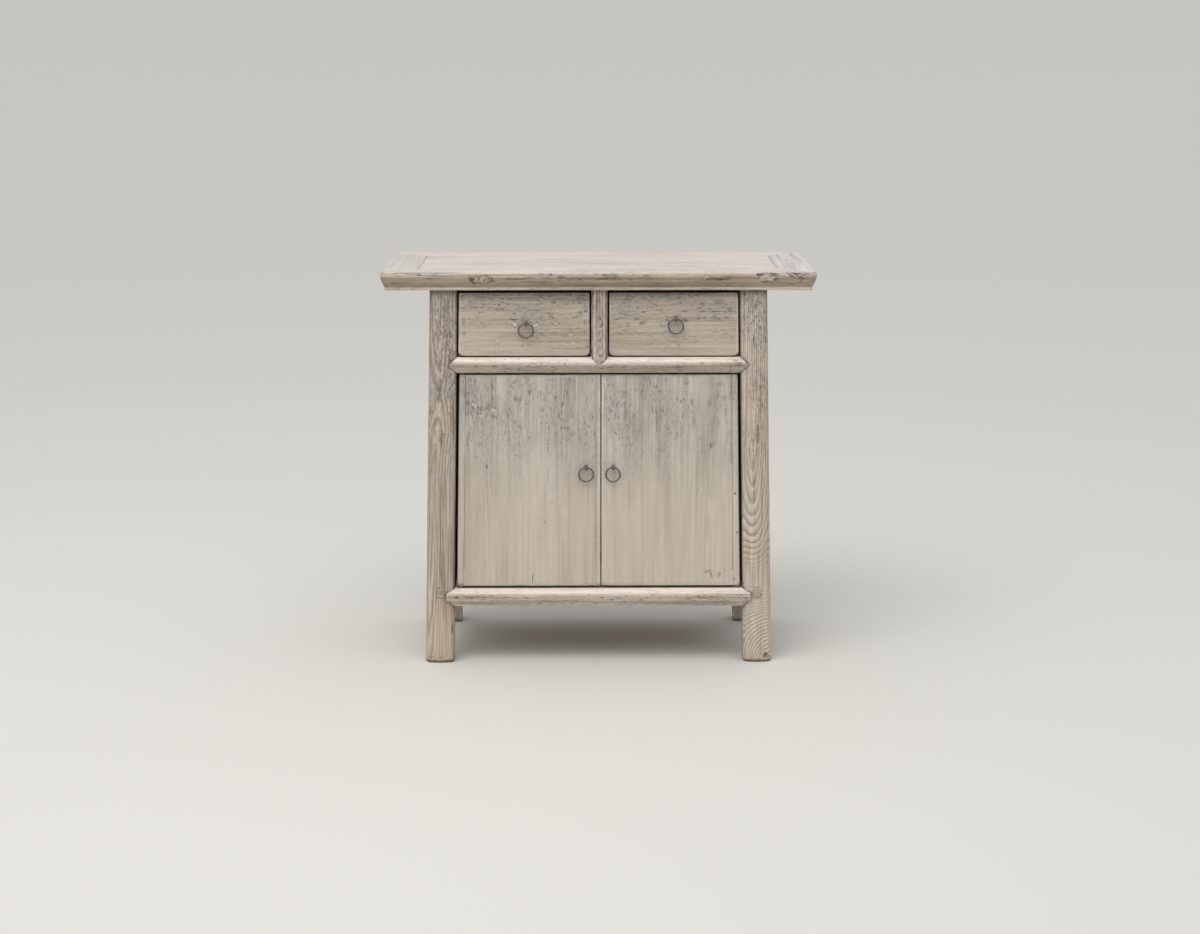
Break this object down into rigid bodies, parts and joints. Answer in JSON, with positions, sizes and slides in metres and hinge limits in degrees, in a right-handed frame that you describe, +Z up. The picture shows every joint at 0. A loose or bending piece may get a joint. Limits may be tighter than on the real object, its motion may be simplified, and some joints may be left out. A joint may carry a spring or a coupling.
{
  "type": "kang cabinet",
  "caption": "Low side cabinet with splayed legs, moulded mitred top, drawers over two plank doors on wooden pivots, and iron ring pulls.",
  "frame": {"origin": "on the floor under the middle of the top", "axes": "+X to the right seen from the front, +Y towards the back, +Z up"},
  "size_m": [1, 0.42, 0.937],
  "materials": {
    "elm_top": "weathered, bleached elm, worn smooth, no varnish",
    "elm_legs": "weathered, bleached elm with open grain",
    "elm_rails": "weathered, bleached elm, worn arrises",
    "elm_doors": "weathered plank, faint old stain in the pores",
    "elm_drawer_fronts": "weathered plank, darker at its edges",
    "elm_sides": "weathered, bleached elm",
    "inner_wood": "raw softwood, aged",
    "forged_iron": "hand-forged, dark and dull"
  },
  "bodies": {
    "carcass": {"side_panel_upper_left": "elm_sides", "side_panel_lower_left": "elm_sides", "side_panel_upper_right": "elm_sides", "side_panel_lower_right": "elm_sides", "back_panel_upper": "elm_sides", "back_panel_lower": "elm_sides", "floor_board": "inner_wood", "dust_board": "inner_wood", "floor_batten": "inner_wood", "drawer_runner_left": "inner_wood", "drawer_runner_centre": "inner_wood", "drawer_runner_right": "inner_wood", "top_panel": "elm_top", "top_battens": "inner_wood", "top_front_rail": "elm_top", "top_back_rail": "elm_top", "top_end_left": "elm_top", "top_end_right": "elm_top", "leg_front_left": "elm_legs", "leg_back_left": "elm_legs", "leg_front_right": "elm_legs", "leg_back_right": "elm_legs", "side_upper_rail_left": "elm_sides", "side_middle_rail_left": "elm_sides", "side_lower_rail_left": "elm_sides", "side_upper_rail_right": "elm_sides", "side_middle_rail_right": "elm_sides", "side_lower_rail_right": "elm_sides", "back_upper_rail": "elm_sides", "back_middle_rail": "elm_sides", "back_lower_rail": "elm_sides", "front_middle_rail": "elm_rails", "front_lower_rail": "elm_rails", "centre_stile": "elm_rails"},
    "drawer_left": {"drawer_left_inner_side": "inner_wood", "drawer_left_outer_side": "inner_wood", "drawer_left_front": "elm_drawer_fronts", "drawer_left_back": "inner_wood", "drawer_left_bottom": "inner_wood", "drawer_left_staple": "forged_iron"},
    "drawer_left_ring_pull": {"drawer_left_ring": "forged_iron"},
    "drawer_right": {"drawer_right_inner_side": "inner_wood", "drawer_right_outer_side": "inner_wood", "drawer_right_front": "elm_drawer_fronts", "drawer_right_back": "inner_wood", "drawer_right_bottom": "inner_wood", "drawer_right_staple": "forged_iron"},
    "drawer_right_ring_pull": {"drawer_right_ring": "forged_iron"},
    "door_left": {"door_left_edge_strip": "elm_doors", "door_left_pivot_strip": "elm_doors", "door_left_battens": "inner_wood", "door_left_board": "elm_doors", "door_left_staple": "forged_iron"},
    "door_left_ring_pull": {"door_left_ring": "forged_iron"},
    "door_right": {"door_right_pivot_strip": "elm_doors", "door_right_battens": "inner_wood", "door_right_board": "elm_doors", "door_right_staple": "forged_iron"},
    "door_right_ring_pull": {"door_right_ring": "forged_iron"}
  },
  "joints": [
    {"name": "drawer_left_slide", "type": "slide", "parent": "carcass", "child": "drawer_left", "axis": [0, -1, 0], "range_m": [0, 0.29]},
    {"name": "drawer_right_slide", "type": "slide", "parent": "carcass", "child": "drawer_right", "axis": [0, -1, 0], "range_m": [0, 0.29]},
    {"name": "door_left_hinge", "type": "hinge", "parent": "carcass", "child": "door_left", "pos_m": [-0.3282, -0.171, 0.1875], "axis": [-0.0229, 0, -0.9997], "range_deg": [0, 100]},
    {"name": "door_right_hinge", "type": "hinge", "parent": "carcass", "child": "door_right", "pos_m": [0.3282, -0.171, 0.1875], "axis": [-0.0229, 0, 0.9997], "range_deg": [0, 100]},
    {"name": "drawer_left_ring_swing", "type": "hinge", "parent": "drawer_left", "child": "drawer_left_ring_pull", "pos_m": [-0.16803, -0.188, 0.81601], "axis": [-1, 0, 0], "range_deg": [-5, 170]},
    {"name": "door_left_ring_swing", "type": "hinge", "parent": "door_left", "child": "door_left_ring_pull", "pos_m": [-0.029, -0.188, 0.47577], "axis": [-1, 0, 0], "range_deg": [-5, 170]},
    {"name": "drawer_right_ring_swing", "type": "hinge", "parent": "drawer_right", "child": "drawer_right_ring_pull", "pos_m": [0.1788, -0.188, 0.82584], "axis": [-1, 0, 0], "range_deg": [-5, 170]},
    {"name": "door_right_ring_swing", "type": "hinge", "parent": "door_right", "child": "door_right_ring_pull", "pos_m": [0.034, -0.188, 0.47577], "axis": [-1, 0, 0], "range_deg": [-5, 170]}
  ]
}
